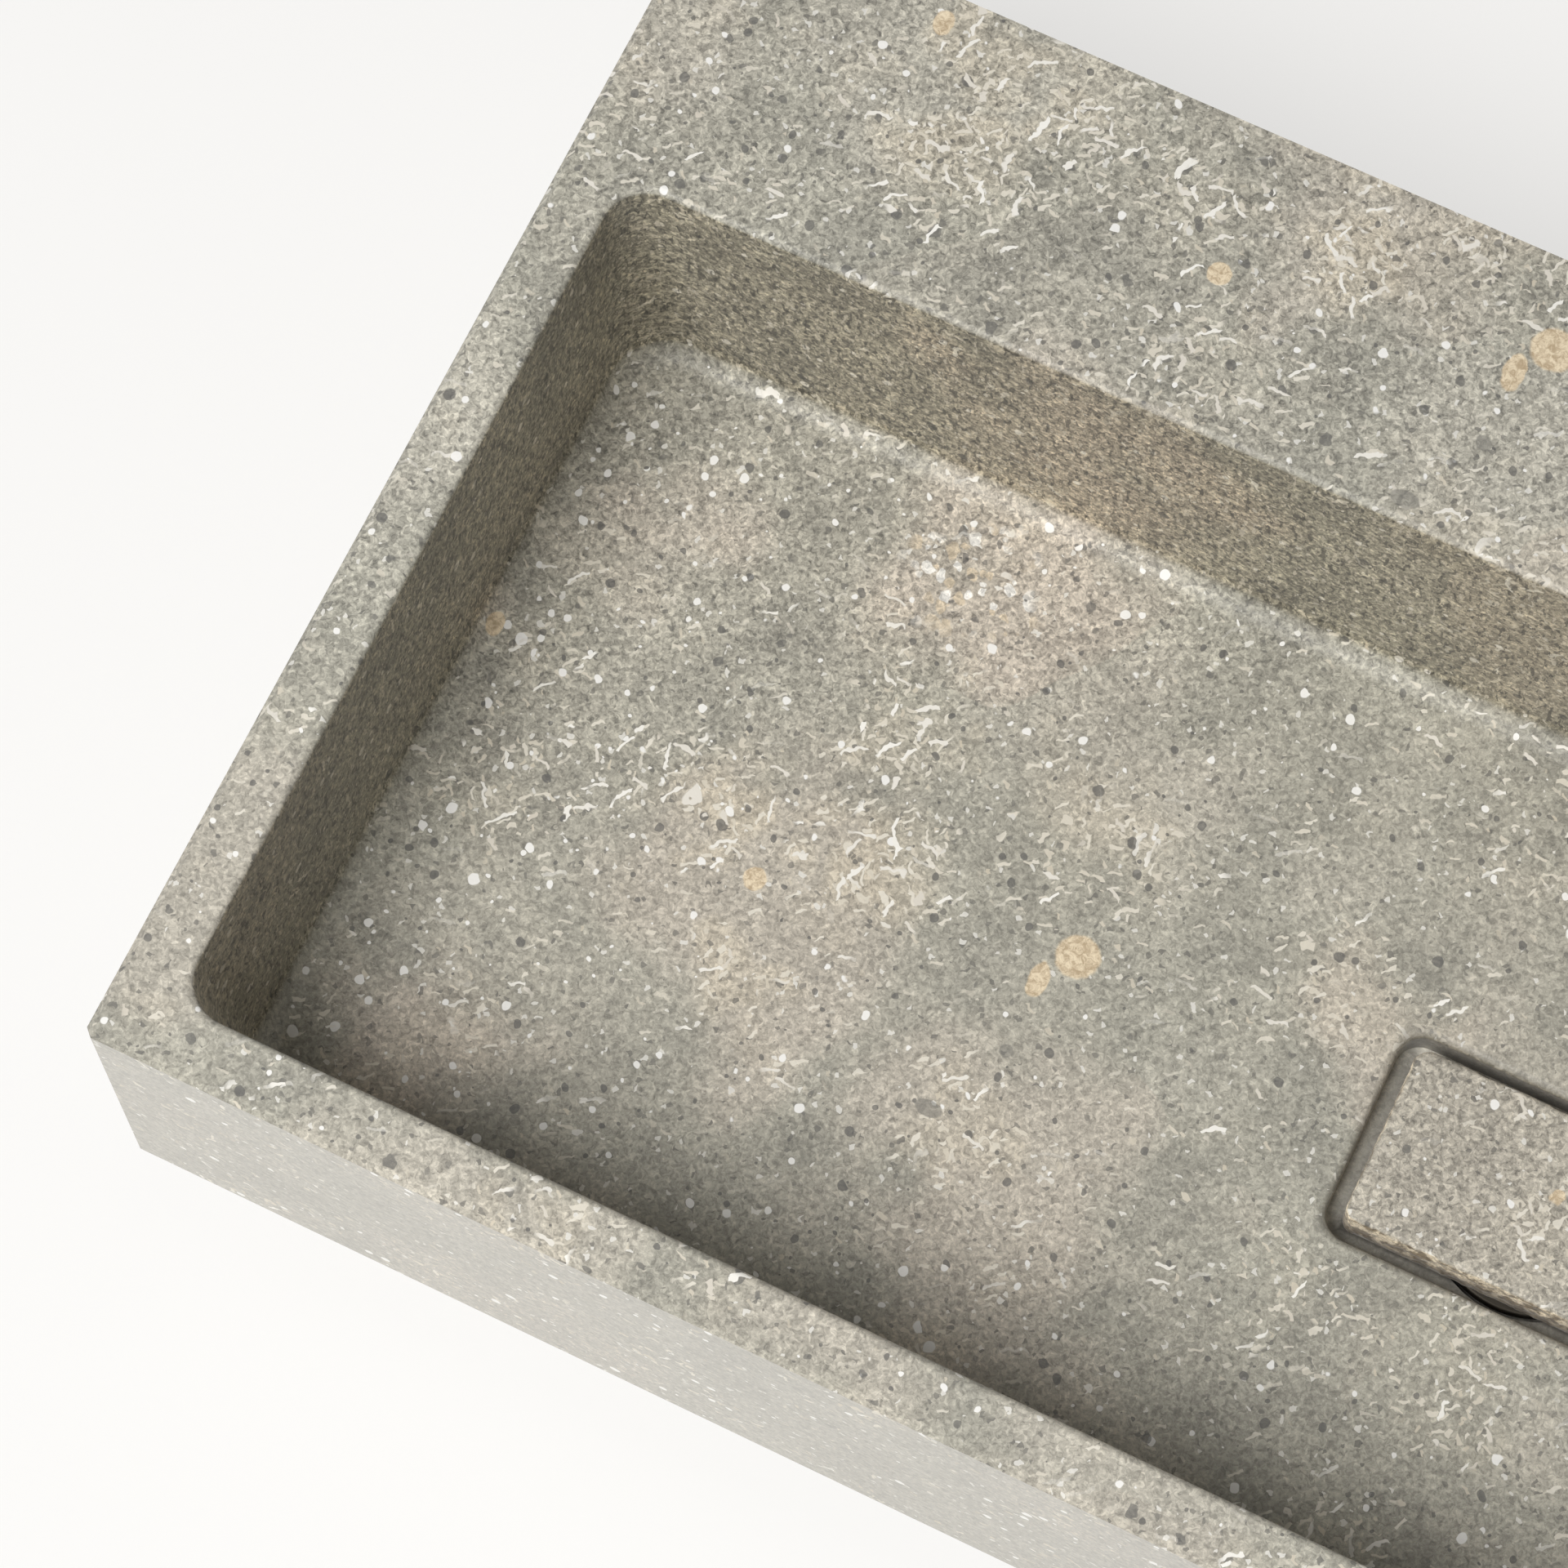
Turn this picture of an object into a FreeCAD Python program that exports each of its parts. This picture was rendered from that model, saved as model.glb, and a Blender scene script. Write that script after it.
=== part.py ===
import FreeCAD, Part
import math
import os

# A wall-hung stone washbasin, carved from one block, with a loose stone cover over its waste.
# Millimetres. X runs along the basin, -Y is the front, +Y is the wall, +Z is up.
# The origin is the middle of the two wall bolts, on the basin's back face.

# Stone block
length = 800.0
depth = 410.0
floor_thickness = 28.0
arris = 2.4

# Bowl
rim_width = 20.0
deck_depth = 100.0
bowl_depth = 100.0
wall_lean = 3.4
rim_corner = 14.0
floor_corner = 22.0
floor_fillet = 8.5
floor_fall = 2.0
rim_round = 2.5

# Drain recess in the bowl's floor
recess_length = 117.0
recess_width = 70.4
recess_corner = 8.5
recess_depth = 12.5
recess_round = 2.6
well_diameter = 65.5
well_depth = 5.0
waste_hole_clearance = 2.0

# Hollow under the deck, where the wall bolts are reached from below
deck_thickness = 28.0
back_wall = 25.0
hollow_front_wall = 20.0
hollow_end_wall = 60.0
hollow_corner = 6.0

# Wall fixing
fixing_spacing = 280.0
fixing_drop = 63.0
bolt_bore = 11.0
sleeve_wall = 3.3
sleeve_clearance = 0.2
collar_width = 5.5
collar_thickness = 3.0

# Stone cover and its pads
cover_gap = 5.2
cover_thickness = 15.0
cover_corner = 4.6
cover_round = 1.8
cover_lower_arris = 0.6
pad_diameter = 10.0
pad_thickness = 2.5
pad_margin = 4.0

# Waste fitting
thread_diameter = 41.9
thread_clearance = 0.3
tail_bore = 36.0
tail_drop = 58.0
tail_chamfer = 1.5
groove_width = 2.0
groove_depth = 0.8
flange_diameter = 62.0
flange_thickness = 3.0
flange_round = 1.0
grid_ledge = 5.0
grid_clearance = 0.3
grid_thickness = 1.5
grid_hole = 5.0
grid_ring_radii = [9.0, 14.4]
grid_ring_counts = [6, 12]
bridge_width = 5.0
bridge_height = 8.0
boss_diameter = 11.0

# Grid screw
screw_diameter = 5.0
screw_clearance = 0.15
screw_length = 11.0
screw_head_diameter = 9.5
screw_head_height = 2.0
screw_slot_width = 1.2
screw_slot_depth = 1.2

# Seals, washer and nut on the waste
flange_seal_thickness = 1.5
flange_seal_margin = 1.0
under_seal_diameter = 62.0
under_seal_thickness = 3.0
slip_washer_diameter = 59.0
slip_washer_thickness = 1.2
nut_flats = 54.0
nut_height = 9.0
nut_chamfer = 2.5

# Working values
cut_overrun = 5.0
match_tolerance = 0.001

# Levels and places that follow from the sizes above
height = bowl_depth + floor_thickness
top_z = fixing_drop
base_z = top_z - height
floor_z = top_z - bowl_depth
recess_rim_z = floor_z - floor_fall
recess_floor_z = recess_rim_z - recess_depth
well_z = recess_floor_z - well_depth
bowl_length = length - 2 * rim_width
bowl_width = depth - rim_width - deck_depth
drain_y = -deck_depth - bowl_width / 2
cover_length = recess_length - 2 * cover_gap
cover_width = recess_width - 2 * cover_gap
waste_hole_diameter = thread_diameter + 2 * waste_hole_clearance
ring_bore = thread_diameter + 2 * thread_clearance
flange_low_z = well_z + flange_seal_thickness
flange_top_z = flange_low_z + flange_thickness
grid_diameter = tail_bore + 2 * grid_ledge
grid_low_z = flange_top_z - grid_thickness
nut_top_z = base_z - under_seal_thickness - slip_washer_thickness
nut_low_z = nut_top_z - nut_height
tail_end_z = base_z - tail_drop
sleeve_diameter = bolt_bore + 2 * sleeve_wall
sleeve_hole = sleeve_diameter + 2 * sleeve_clearance
collar_seat = sleeve_hole + 2 * collar_width
drain_axis = FreeCAD.Vector(0, drain_y, 0)
up = FreeCAD.Vector(0, 0, 1)
to_wall = FreeCAD.Vector(0, 1, 0)


def rounded_rectangle(size_x, size_y, radius, middle_y, z):
    """Closed outline with four round corners, level at height z, centred on x = 0."""
    flat_x = size_x / 2 - radius
    flat_y = size_y / 2 - radius
    edges = []
    for quarter in range(4):
        turn = math.pi / 2 * quarter
        side_x = 1 if quarter in (0, 3) else -1
        side_y = 1 if quarter in (0, 1) else -1
        corner = FreeCAD.Vector(side_x * flat_x, middle_y + side_y * flat_y, z)
        on_arc = [
            corner + FreeCAD.Vector(math.cos(angle), math.sin(angle), 0) * radius
            for angle in (turn, turn + math.pi / 4, turn + math.pi / 2)
        ]
        if edges:
            edges.append(Part.LineSegment(edges[-1].lastVertex().Point, on_arc[0]).toShape())
        edges.append(Part.Arc(*on_arc).toShape())
    closing = Part.LineSegment(edges[-1].lastVertex().Point, edges[0].firstVertex().Point)
    edges.append(closing.toShape())
    return Part.Wire(edges)


def prism(outline, rise):
    """Solid that lifts a closed outline straight up by rise."""
    return Part.Face(outline).extrude(up * rise)


def cylinder(diameter, low_z, high_z, axis_at=drain_axis):
    """Upright cylinder between two heights."""
    foot = axis_at + up * low_z
    return Part.makeCylinder(diameter / 2, high_z - low_z, foot, up)


def ring(outer_diameter, inner_diameter, low_z, high_z):
    """Flat ring on the drain's axis."""
    return cylinder(outer_diameter, low_z, high_z).cut(cylinder(inner_diameter, low_z, high_z))


def turned(points, axis_at=drain_axis):
    """Solid of revolution about an upright axis, from (radius, z) points of its half section."""
    corners = [axis_at + FreeCAD.Vector(radius, 0, z) for radius, z in points]
    section = Part.Face(Part.makePolygon(corners + corners[:1]))
    return section.revolve(axis_at, up, 360)


def level_edges(shape, z, outline):
    """Edges of a shape that lie at height z within a closed outline's reach."""
    reach = outline.BoundBox
    reach.enlarge(match_tolerance)
    found = []
    for edge in shape.Edges:
        box = edge.BoundBox
        level = abs(box.ZMin - z) < match_tolerance and abs(box.ZMax - z) < match_tolerance
        if level and reach.XMin < box.XMin and box.XMax < reach.XMax:
            if reach.YMin < box.YMin and box.YMax < reach.YMax:
                found.append(edge)
    return found


def bowl_outline(z, inset=0.0):
    """The bowl's plan at height z: its walls lean out and its corners tighten towards the rim."""
    drop_share = (top_z - z) / bowl_depth
    lean = wall_lean * drop_share + inset
    corner = rim_corner + (floor_corner - rim_corner) * drop_share
    return rounded_rectangle(bowl_length - 2 * lean, bowl_width - 2 * lean, corner, drain_y, z)


def recess_outline(z):
    return rounded_rectangle(recess_length, recess_width, recess_corner, drain_y, z)


def bowl_space():
    """Everything carved out from above: bowl, falling floor and drain recess."""
    floor_line = bowl_outline(floor_z)
    walls = Part.makeLoft([floor_line, bowl_outline(top_z + cut_overrun)], True, True)
    walls = walls.makeFillet(floor_fillet, level_edges(walls, floor_z, floor_line))
    flat_line = bowl_outline(floor_z, floor_fillet)
    fall = Part.makeLoft([recess_outline(recess_rim_z), flat_line], True, True)
    above_fall = prism(flat_line, bowl_depth / 2)
    recess = prism(recess_outline(recess_floor_z), recess_depth)
    return walls.fuse([above_fall.fuse(fall), recess]).removeSplitter()


def make_basin_body():
    block = Part.makeBox(length, depth, height, FreeCAD.Vector(-length / 2, -depth, base_z))
    # The edges that meet the wall stay square.
    free_edges = [edge for edge in block.Edges if edge.BoundBox.YMin < -match_tolerance]
    block = block.makeChamfer(arris, free_edges)
    body = block.cut(bowl_space())
    body = body.makeFillet(rim_round, level_edges(body, top_z, bowl_outline(top_z)))
    recess_edges = level_edges(body, recess_rim_z, recess_outline(recess_rim_z))
    body = body.makeFillet(recess_round, recess_edges)
    well = cylinder(well_diameter, well_z, recess_rim_z)
    waste_hole = cylinder(waste_hole_diameter, base_z - cut_overrun, recess_rim_z)
    hollow_depth = deck_depth - back_wall - hollow_front_wall
    hollow_line = rounded_rectangle(
        length - 2 * hollow_end_wall,
        hollow_depth,
        hollow_corner,
        -back_wall - hollow_depth / 2,
        base_z - cut_overrun,
    )
    hollow = prism(hollow_line, height - deck_thickness + cut_overrun)
    body = body.cut([well, waste_hole, hollow])
    for side in (-1, 1):
        start = FreeCAD.Vector(side * fixing_spacing / 2, -back_wall - cut_overrun, 0)
        drilled = Part.makeCylinder(sleeve_hole / 2, back_wall + 2 * cut_overrun, start, to_wall)
        seat = Part.makeCylinder(collar_seat / 2, cut_overrun + collar_thickness, start, to_wall)
        body = body.cut([drilled, seat])
    return body


def make_drain_cover():
    low_z = recess_floor_z + pad_thickness
    outline = rounded_rectangle(cover_length, cover_width, cover_corner, drain_y, low_z)
    plate = prism(outline, cover_thickness)
    plate = plate.makeFillet(cover_round, level_edges(plate, low_z + cover_thickness, outline))
    return plate.makeChamfer(cover_lower_arris, level_edges(plate, low_z, outline))


def make_cover_pad(side_x, side_y):
    """Clear stick-on pad under one corner of the cover."""
    reach = pad_diameter / 2 + pad_margin
    place = FreeCAD.Vector(
        side_x * (cover_length / 2 - reach),
        drain_y + side_y * (cover_width / 2 - reach),
        0,
    )
    return cylinder(pad_diameter, recess_floor_z, recess_floor_z + pad_thickness, place)


def make_waste_body():
    """Flanged and threaded brass tube, with a bridge across its bore for the grid's screw."""
    thread_r = thread_diameter / 2
    groove_r = thread_r - groove_depth
    groove_low_z = nut_low_z - groove_width
    flange_r = flange_diameter / 2
    seat_r = grid_diameter / 2 + grid_clearance
    tube = turned([
        (tail_bore / 2, tail_end_z),
        (thread_r - tail_chamfer, tail_end_z),
        (thread_r, tail_end_z + tail_chamfer),
        (thread_r, groove_low_z),
        (groove_r, groove_low_z),
        (groove_r, nut_low_z),
        (thread_r, nut_low_z),
        (thread_r, flange_low_z),
        (flange_r, flange_low_z),
        (flange_r, flange_top_z - flange_round),
        (flange_r - flange_round, flange_top_z),
        (seat_r, flange_top_z),
        (seat_r, grid_low_z),
        (tail_bore / 2, grid_low_z),
    ])
    bridge_low_z = grid_low_z - bridge_height
    bridge_length = (tail_bore + thread_diameter) / 2
    corner = drain_axis + FreeCAD.Vector(-bridge_length / 2, -bridge_width / 2, bridge_low_z)
    bridge = Part.makeBox(bridge_length, bridge_width, bridge_height, corner)
    boss = cylinder(boss_diameter, bridge_low_z, grid_low_z)
    screw_hole = cylinder(screw_diameter + 2 * screw_clearance, bridge_low_z, grid_low_z)
    return tube.fuse([bridge, boss]).removeSplitter().cut(screw_hole)


def make_waste_grid():
    disc = cylinder(grid_diameter, grid_low_z, flange_top_z)
    holes = [cylinder(screw_diameter + 2 * screw_clearance, grid_low_z, flange_top_z)]
    for ring_radius, count in zip(grid_ring_radii, grid_ring_counts):
        for place in range(count):
            angle = 2 * math.pi * place / count
            across = FreeCAD.Vector(math.cos(angle), math.sin(angle), 0) * ring_radius
            holes.append(cylinder(grid_hole, grid_low_z, flange_top_z, drain_axis + across))
    return disc.cut(holes)


def make_grid_screw():
    """Slotted screw with a low head, standing on the grid."""
    head_r = screw_head_diameter / 2
    crown_r = head_r - screw_head_height / 2
    shank_end_z = flange_top_z - screw_length
    head_top_z = flange_top_z + screw_head_height
    screw = turned([
        (0, shank_end_z),
        (screw_diameter / 2, shank_end_z),
        (screw_diameter / 2, flange_top_z),
        (head_r, flange_top_z),
        (head_r, head_top_z - screw_head_height / 2),
        (crown_r, head_top_z),
        (0, head_top_z),
    ])
    corner = FreeCAD.Vector(-head_r, -screw_slot_width / 2, head_top_z - screw_slot_depth)
    slot = Part.makeBox(screw_head_diameter, screw_slot_width, screw_slot_depth, drain_axis + corner)
    return screw.cut(slot)


def make_back_nut():
    """Hexagon nut under the basin, with its corners turned off."""
    corner_r = nut_flats / 2 / math.cos(math.pi / 6)
    corners = []
    for place in range(6):
        angle = math.pi / 3 * place
        spoke = FreeCAD.Vector(math.cos(angle), math.sin(angle), 0) * corner_r
        corners.append(drain_axis + spoke + up * nut_low_z)
    hexagon = prism(Part.makePolygon(corners + corners[:1]), nut_height)
    turned_blank = turned([
        (0, nut_low_z),
        (corner_r - nut_chamfer, nut_low_z),
        (corner_r, nut_low_z + nut_chamfer),
        (corner_r, nut_top_z),
        (0, nut_top_z),
    ])
    return hexagon.common(turned_blank).cut(cylinder(ring_bore, nut_low_z, nut_top_z))


def make_wall_sleeve(side):
    """Nylon bush in the back wall: its collar is let in flush, its bore takes a wall bolt."""
    inner_r = bolt_bore / 2
    sleeve_r = sleeve_diameter / 2
    collar_r = sleeve_r + collar_width
    shoulder_y = -back_wall + collar_thickness
    middle = FreeCAD.Vector(side * fixing_spacing / 2, 0, 0)
    half_section = [
        (inner_r, -back_wall),
        (collar_r, -back_wall),
        (collar_r, shoulder_y),
        (sleeve_r, shoulder_y),
        (sleeve_r, 0),
        (inner_r, 0),
    ]
    corners = [middle + FreeCAD.Vector(radius, y, 0) for radius, y in half_section]
    section = Part.Face(Part.makePolygon(corners + corners[:1]))
    return section.revolve(middle, to_wall, 360)


nodes = {
    "basin_body": make_basin_body(),
    "drain_cover": make_drain_cover(),
    "waste_body": make_waste_body(),
    "waste_grid": make_waste_grid(),
    "grid_screw": make_grid_screw(),
    "flange_seal": ring(
        flange_diameter - 2 * flange_seal_margin, ring_bore, well_z, flange_low_z
    ),
    "under_seal": ring(
        under_seal_diameter, ring_bore, base_z - under_seal_thickness, base_z
    ),
    "slip_washer": ring(
        slip_washer_diameter, ring_bore, nut_top_z, base_z - under_seal_thickness
    ),
    "back_nut": make_back_nut(),
    "wall_sleeve_left": make_wall_sleeve(-1),
    "wall_sleeve_right": make_wall_sleeve(1),
}
for front_or_back, side_y in (("front", -1), ("back", 1)):
    for left_or_right, side_x in (("left", -1), ("right", 1)):
        nodes[f"cover_pad_{front_or_back}_{left_or_right}"] = make_cover_pad(side_x, side_y)

os.makedirs("parts", exist_ok=True)
for name, shape in nodes.items():
    shape.exportStep(f"parts/{name}.step")
    print(name, "solids", len(shape.Solids), "valid", shape.isValid(), "mm3", round(shape.Volume))
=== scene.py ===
# %% [markdown]
# A wall-hung stone washbasin. The imported model gives every piece at its real place and size,
# so this lesson only adds what the imported model lacks: the finish of each surface, the broken
# sides of the drain cover, the domes of its pads, the screw thread on the waste, a floor, the
# light and a camera. We load the model first, as a fixed frame, and keep its box, whose lowest
# point sets the floor.

# %% Load the fixed frame
import math

import bmesh
import bpy
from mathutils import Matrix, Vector, noise


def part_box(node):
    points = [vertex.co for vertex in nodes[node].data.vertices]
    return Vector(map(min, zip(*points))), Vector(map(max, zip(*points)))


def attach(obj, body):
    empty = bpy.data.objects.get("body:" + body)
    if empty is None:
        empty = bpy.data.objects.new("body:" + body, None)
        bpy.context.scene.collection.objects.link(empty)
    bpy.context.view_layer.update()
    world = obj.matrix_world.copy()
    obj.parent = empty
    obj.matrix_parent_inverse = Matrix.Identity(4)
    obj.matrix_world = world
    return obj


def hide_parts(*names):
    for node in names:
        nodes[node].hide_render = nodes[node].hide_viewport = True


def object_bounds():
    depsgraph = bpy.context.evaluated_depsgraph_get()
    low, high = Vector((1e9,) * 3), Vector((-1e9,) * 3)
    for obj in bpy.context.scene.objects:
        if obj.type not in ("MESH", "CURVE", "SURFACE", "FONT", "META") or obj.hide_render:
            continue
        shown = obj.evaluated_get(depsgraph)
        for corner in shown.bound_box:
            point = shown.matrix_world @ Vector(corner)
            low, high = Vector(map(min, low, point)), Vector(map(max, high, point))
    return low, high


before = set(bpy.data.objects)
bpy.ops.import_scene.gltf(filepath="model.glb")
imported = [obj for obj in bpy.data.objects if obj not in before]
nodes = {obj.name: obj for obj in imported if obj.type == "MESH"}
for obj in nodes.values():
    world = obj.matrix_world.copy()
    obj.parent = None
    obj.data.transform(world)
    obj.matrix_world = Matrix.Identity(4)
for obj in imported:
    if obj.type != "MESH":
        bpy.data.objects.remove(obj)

cad_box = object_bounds()
print("pieces in the frame:", sorted(nodes))

# %% [markdown]
# The camera looks steeply down over the basin's front-left corner, with a long lens, so that
# the block's edges stay nearly parallel. It has no roll. We place it first, because every
# finish is judged through it.

# %% Camera
view_azimuth = 25.86
view_elevation = 71.05
lens_length = 119.57
camera_place = Vector((-0.0358, -0.69875, 1.50193))


def looking(azimuth, elevation):
    """Unit vector along which the camera looks: azimuth 0 looks along +Y, 90 along -X."""
    turn = math.radians(azimuth)
    tilt = math.radians(elevation)
    flat = math.cos(tilt)
    return Vector((-math.sin(turn) * flat, math.cos(turn) * flat, -math.sin(tilt)))


camera_data = bpy.data.cameras.new("view_from_above")
camera_data.lens = lens_length
camera_data.sensor_width = 36.0
camera = bpy.data.objects.new("view_from_above", camera_data)
camera.location = camera_place
camera.rotation_euler = looking(view_azimuth, view_elevation).to_track_quat("-Z", "Y").to_euler()
bpy.context.scene.collection.objects.link(camera)
bpy.context.scene.camera = camera
print("camera at", tuple(round(c, 4) for c in camera.location))

# %% [markdown]
# Materials are trees of nodes. Wiring each node by hand takes many lines, so a small bench
# does it: every call adds one node and hands back its output, ready for the next call.

# %% Colours


def tone(red, green, blue):
    """A colour given on a 0 to 255 screen scale, as the linear values that shaders use."""
    linear = []
    for level in (red, green, blue):
        share = level / 255
        linear.append(share / 12.92 if share <= 0.04045 else ((share + 0.055) / 1.055) ** 2.4)
    return (*linear, 1.0)


# %% A bench for wiring finishes


class Bench:
    """Wires one material's nodes. Inputs can be plain numbers, colours or other outputs."""

    def __init__(self, name):
        self.material = bpy.data.materials.new(name)
        self.material.use_nodes = True
        self.tree = self.material.node_tree
        self.surface = self.tree.nodes["Principled BSDF"]

    def plug(self, socket, value):
        if isinstance(value, bpy.types.NodeSocket):
            self.tree.links.new(value, socket)
        else:
            socket.default_value = value

    def node(self, kind, inputs=(), **settings):
        made = self.tree.nodes.new(kind)
        for key, value in settings.items():
            setattr(made, key, value)
        for key, value in dict(inputs).items():
            self.plug(made.inputs[key], value)
        return made

    def sum(self, operation, first, second=0.0, third=0.0):
        """Any sum on numbers. times is the commonest one, so it has a call of its own."""
        values = {0: first, 1: second, 2: third}
        return self.node("ShaderNodeMath", values, operation=operation).outputs[0]

    def times(self, first, second):
        return self.sum("MULTIPLY", first, second)

    def arrow(self, operation, first, second=(0, 0, 0)):
        made = self.node("ShaderNodeVectorMath", {0: first, 1: second}, operation=operation)
        single = operation in ("DOT_PRODUCT", "LENGTH", "DISTANCE")
        return made.outputs["Value" if single else "Vector"]

    def stretch(self, direction, factor):
        made = self.node("ShaderNodeVectorMath", {0: direction, "Scale": factor}, operation="SCALE")
        return made.outputs["Vector"]

    def fade(self, value, low, high, at_low=0.0, at_high=1.0):
        """A soft step from at_low to at_high as value goes from low to high."""
        inputs = {0: value, 1: low, 2: high, 3: at_low, 4: at_high}
        made = self.node("ShaderNodeMapRange", inputs, interpolation_type="SMOOTHSTEP")
        return made.outputs[0]

    def blend(self, share, below, above, kind="MIX"):
        made = self.node("ShaderNodeMix", data_type="RGBA", blend_type=kind)
        self.plug(made.inputs[0], share)
        self.plug(made.inputs[6], below)
        self.plug(made.inputs[7], above)
        return made.outputs[2]

    def clouds(self, place, size, detail=3.0, rough=0.55, warp=0.0):
        """Cloudy noise whose lumps are about size metres across, from 0 to 1."""
        inputs = {"Vector": place, "Scale": 1 / size, "Detail": detail}
        inputs.update({"Roughness": rough, "Distortion": warp})
        return self.node("ShaderNodeTexNoise", inputs, noise_dimensions="3D").outputs[0]

    def cells(self, place, size):
        """Random cells about size metres across: distance, colour and seed point of each."""
        inputs = {"Vector": place, "Scale": 1 / size}
        made = self.node("ShaderNodeTexVoronoi", inputs, voronoi_dimensions="3D", feature="F1")
        return made.outputs

    def parts(self, colour):
        """The three numbers of a colour, for use as random numbers."""
        return self.node("ShaderNodeSeparateColor", {0: colour}).outputs


# %% [markdown]
# The stone is a grey conglomerate: a fine sandy ground with soft clouds of greenish grey,
# taupe and slate, and in it crushed shell, white and charcoal chips and a few tan pebbles.
# An image could show that, but it would smear on the bowl's walls. A solid texture is worked
# out in space, so the pattern runs through the block, as in real stone, and every cut face
# shows a true section of it. Shells are the clearest case: each one is a small curved plate in
# its own random cell, and the surface slices it into a bright sliver.

# %% Fragments in the stone


class Fragments:
    """Random cells in the stone, each with room for one fragment and three random numbers.

    Each fragment has a random axis. We work out how far along that axis the place lies, and how
    far from it, squared.
    """

    def __init__(self, bench, place, spacing):
        found = bench.cells(place, spacing)
        local = bench.arrow("SUBTRACT", place, found["Position"])
        axis = bench.arrow("NORMALIZE", bench.arrow("SUBTRACT", found["Color"], (0.5, 0.5, 0.5)))
        self.bench = bench
        self.luck = bench.parts(found["Color"])
        self.seed = found["Position"]
        self.rise = bench.arrow("DOT_PRODUCT", local, axis)
        self.rise_square = bench.times(self.rise, self.rise)
        square = bench.arrow("DOT_PRODUCT", local, local)
        across_square = bench.sum("SUBTRACT", square, self.rise_square)
        self.across_square = bench.sum("MAXIMUM", across_square, 0.0)

    def plates(self, radius, thickness, curl):
        """Mask of curved plates of shell, which the surface slices into slivers."""
        bench = self.bench
        bend = bench.times(self.across_square, bench.times(self.luck[2], curl))
        off_plate = bench.sum("ABSOLUTE", bench.sum("SUBTRACT", self.rise, bend))
        limit = bench.sum("MULTIPLY_ADD", self.luck[0], radius * 0.65, radius * 0.35)
        reach = bench.sum("DIVIDE", bench.sum("SQRT", self.across_square), limit)
        in_plate = bench.fade(off_plate, thickness * 0.40, thickness * 0.60, 1.0, 0.0)
        return bench.times(in_plate, bench.fade(reach, 0.88, 1.0, 1.0, 0.0))

    def pebbles(self, smallest, largest):
        """Mask of long and flat rounded pebbles of random size; small ones are commoner."""
        bench = self.bench
        squash = bench.sum("MULTIPLY_ADD", self.luck[1], 2.2, 0.5)
        square = bench.sum("MULTIPLY_ADD", self.rise_square, squash, self.across_square)
        chance = bench.sum("POWER", self.luck[0], 3.0)
        size = bench.sum("MULTIPLY_ADD", chance, largest - smallest, smallest)
        reach = bench.sum("DIVIDE", bench.sum("SQRT", square), size)
        return bench.fade(reach, 0.84, 1.0, 1.0, 0.0)


# %% [markdown]
# Some faces of the stone are painted over the honed finish. The bowl's steep walls get painted
# shade: a darker, browner tone, with open pits. The block's outer sides get a painted sheen, so
# they look paler and quieter than the top. The recess round the drain gets painted shade, darkest
# under the cover and at its back. The cover is an offcut whose sides were broken and never
# ground, so they are brown and coarse, with painted shade towards the gap below. Each of these
# layers finds its faces by which way they look and where they lie, and paints over the honed
# stone there.

# %% Where the faces lie
drain_low, drain_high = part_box("drain_cover")
drain_middle = (drain_low + drain_high) / 2
drain_gap = 0.0052
floor_level = -0.037
well_level = -0.0565
inner_end, inner_front, inner_back = 0.39, -0.40, -0.09
print("cover from", tuple(drain_low), "to", tuple(drain_high))


def facing_and_place(bench):
    """The parts of the direction that a face looks in, and of the place on it."""
    seen = bench.node("ShaderNodeTexCoord").outputs
    facing = bench.node("ShaderNodeSeparateXYZ", {0: seen["Normal"]}).outputs
    return facing, bench.node("ShaderNodeSeparateXYZ", {0: seen["Object"]}).outputs


def upright_within(bench):
    """1 on upright faces, and 1 at places inside the block's rim."""
    facing, at = facing_and_place(bench)
    upright = bench.fade(bench.sum("ABSOLUTE", facing[2]), 0.25, 0.65, 1.0, 0.0)
    within_ends = bench.sum("LESS_THAN", bench.sum("ABSOLUTE", at[0]), inner_end)
    from_front = bench.sum("GREATER_THAN", at[1], inner_front)
    from_back = bench.sum("LESS_THAN", at[1], inner_back)
    return upright, bench.times(within_ends, bench.times(from_front, from_back))


# %% Painted wall shade and sheen on the sides


def wall_shade_and_pits(bench, colour, grey):
    """Painted shade on the upright faces inside the bowl: darker, browner, with pits and bright
    grains.
    """
    upright, within = upright_within(bench)
    # Painted shade and warm bounce light: upright faces inside the bowl are tinted darker and
    # browner.
    wall_shade = bench.blend(0.6, tone(228, 223, 211), grey, "MULTIPLY")
    colour = bench.blend(bench.times(upright, within), colour, wall_shade, "MULTIPLY")
    place = bench.node("ShaderNodeTexCoord").outputs["Object"]
    tall = bench.arrow("MULTIPLY", place, (1.0, 1.0, 0.45))
    pepper = bench.clouds(tall, size=0.0019, detail=2.0, rough=0.6)
    pits = bench.times(upright, bench.fade(pepper, 0.36, 0.42, 0.72, 0.0))
    colour = bench.blend(bench.times(pits, within), colour, tone(50, 47, 41))
    grains = bench.times(upright, bench.fade(pepper, 0.62, 0.66, 0.0, 0.58))
    return bench.blend(bench.times(grains, within), colour, tone(218, 208, 188))


def sheen_on_sides(bench, colour, grey):
    """Painted sheen on the block's outer sides: paler, quieter; only what is brighter shows
    through.
    """
    upright, within = upright_within(bench)
    outside = bench.times(upright, bench.sum("SUBTRACT", 1.0, within))
    # Painted sheen: the outer sides are painted paler and quieter than the top, as a grazing sheen
    # would make them.
    painted_sheen = bench.blend(0.30, tone(190, 186, 176), grey, "MULTIPLY")
    return bench.blend(bench.times(outside, 0.75), colour, painted_sheen, "LIGHTEN")


# %% Painted shade in the recess


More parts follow.
